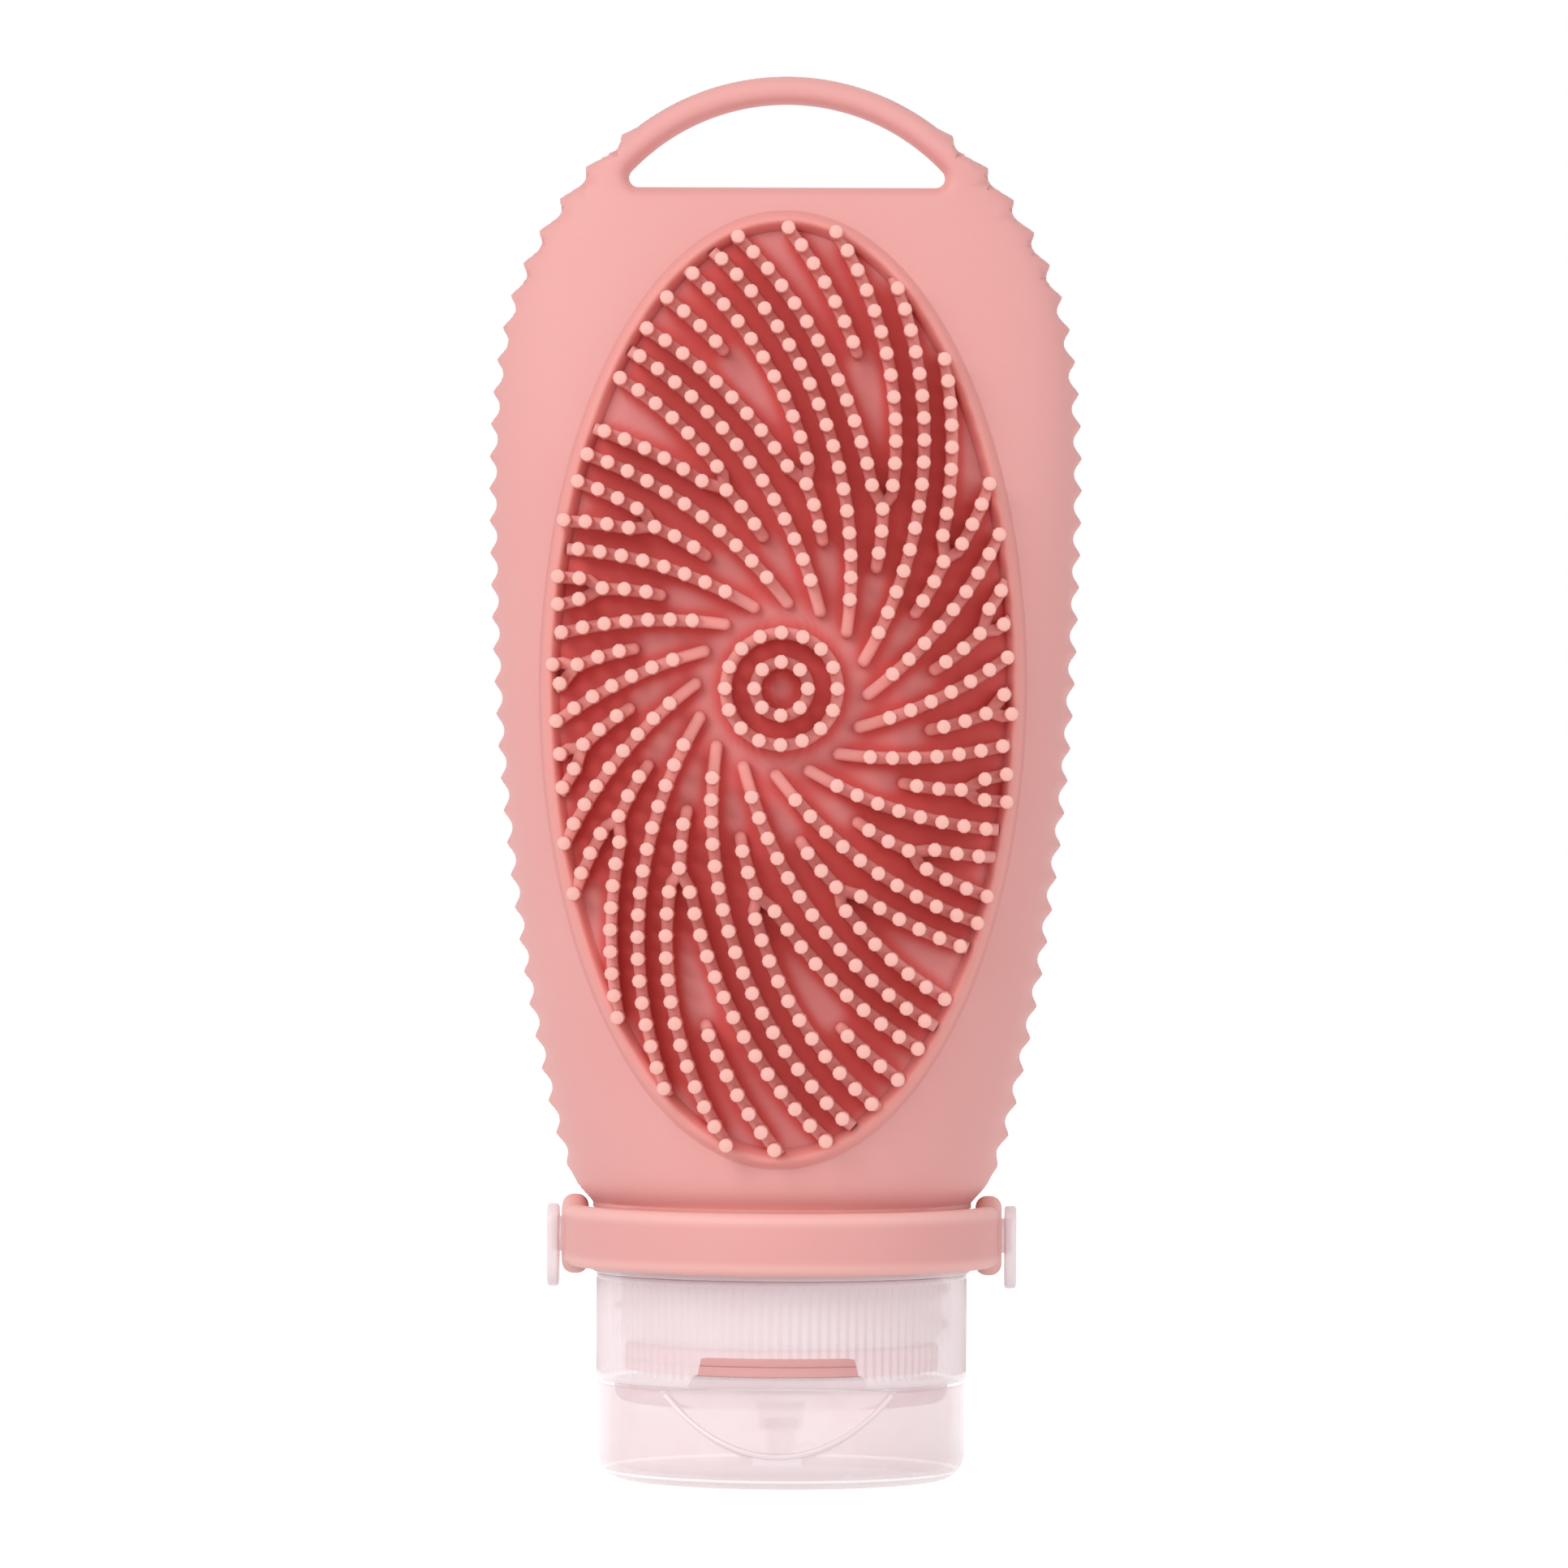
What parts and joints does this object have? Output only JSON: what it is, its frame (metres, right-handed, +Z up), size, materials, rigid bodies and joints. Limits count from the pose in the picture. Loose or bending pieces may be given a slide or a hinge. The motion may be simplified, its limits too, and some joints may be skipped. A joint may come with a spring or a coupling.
{
  "type": "shower brush dispenser bottle",
  "caption": "Soft silicone squeeze bottle with an oval bristle brush on its face, a hanging loop, wavy grip edges, a strap at the neck and a flip-top screw cap that it stands on.",
  "frame": {"origin": "centre of the flat end of the flip lid, on which the bottle stands", "axes": "+Z up along the axis of the lid, cap and neck towards the hanging loop; -Y out of the bristle face; X across the bottle, along the strap's studs"},
  "size_m": [0.0676, 0.0501, 0.16],
  "materials": {
    "silicone": "matt moulded silicone",
    "clear_plastic": "translucent moulded polypropylene",
    "collar_plastic": "milky moulded polypropylene"
  },
  "bodies": {
    "bottle": {"bottle_body": "silicone", "brush_pad": "silicone", "neck_collar": "collar_plastic"},
    "strap": {"strap": "silicone"},
    "washer": {"seal_washer": "silicone"},
    "cap": {"screw_cap": "clear_plastic"},
    "lid": {"flip_lid": "clear_plastic"}
  },
  "joints": [
    {"name": "strap_swing", "type": "hinge", "parent": "bottle", "child": "strap", "pos_m": [0, 0, 0.02775], "axis": [1, 0, 0], "range_deg": [-1, 8]},
    {"name": "cap_lift", "type": "slide", "parent": "bottle", "child": "washer", "axis": [0, 0, -1], "range_m": [0, 0.0061]},
    {"name": "cap_turn", "type": "hinge", "parent": "washer", "child": "cap", "pos_m": [0, 0, 0.0113], "axis": [0, 0, -1], "range_deg": [0, 540]},
    {"name": "lid_flip", "type": "hinge", "parent": "cap", "child": "lid", "pos_m": [0, 0.02215, 0.01115], "axis": [1, 0, 0], "range_deg": [0, 150]}
  ],
  "couplings": [
    {"joint": "cap_lift", "follows": "cap_turn", "m_per_rad": 0.00063662}
  ]
}
